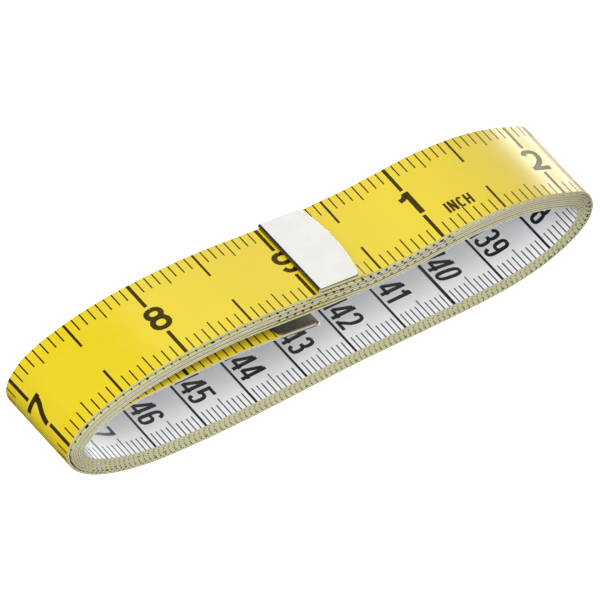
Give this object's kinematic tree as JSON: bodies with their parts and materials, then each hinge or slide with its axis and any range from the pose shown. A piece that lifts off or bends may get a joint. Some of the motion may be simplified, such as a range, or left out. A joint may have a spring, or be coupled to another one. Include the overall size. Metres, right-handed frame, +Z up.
{
  "type": "cloth tape measure",
  "caption": "Tailor's cloth tape measure wound flat into an oval coil, yellow inch scale outside and white centimetre scale inside, with a folded metal ferrule on each end.",
  "frame": {"origin": "on the table under the middle of the coil, halfway across the strip", "axes": "+X along the coil's length, +Y across the strip, +Z up"},
  "size_m": [0.1062, 0.0182, 0.0233],
  "materials": {
    "yellow_vinyl": "calendered, semi-gloss, printed",
    "glass_cloth": "woven",
    "white_vinyl": "calendered, semi-gloss, printed",
    "nickel": "plated, polished, lightly worn"
  },
  "bodies": {
    "coil": {"coil_yellow_coat": "yellow_vinyl", "coil_glass_cloth": "glass_cloth", "coil_white_coat": "white_vinyl"},
    "outer_end": {"outer_end_yellow_coat": "yellow_vinyl", "outer_end_glass_cloth": "glass_cloth", "outer_end_white_coat": "white_vinyl", "outer_ferrule": "nickel"},
    "inner_tail": {"inner_tail_yellow_coat": "yellow_vinyl", "inner_tail_glass_cloth": "glass_cloth", "inner_tail_white_coat": "white_vinyl", "inner_ferrule": "nickel"}
  },
  "joints": [
    {"name": "outer_end_lift", "type": "hinge", "parent": "coil", "child": "outer_end", "pos_m": [0.0275, 0, 0.02158], "axis": [0, 1, 0], "range_deg": [0, 70]},
    {"name": "inner_tail_swing", "type": "hinge", "parent": "coil", "child": "inner_tail", "pos_m": [-0.04699, 0, 0.01441], "axis": [0, -1, 0], "range_deg": [-12, 3], "stiffness_Nm_per_rad": 0.004, "springref_deg": 4.87}
  ]
}
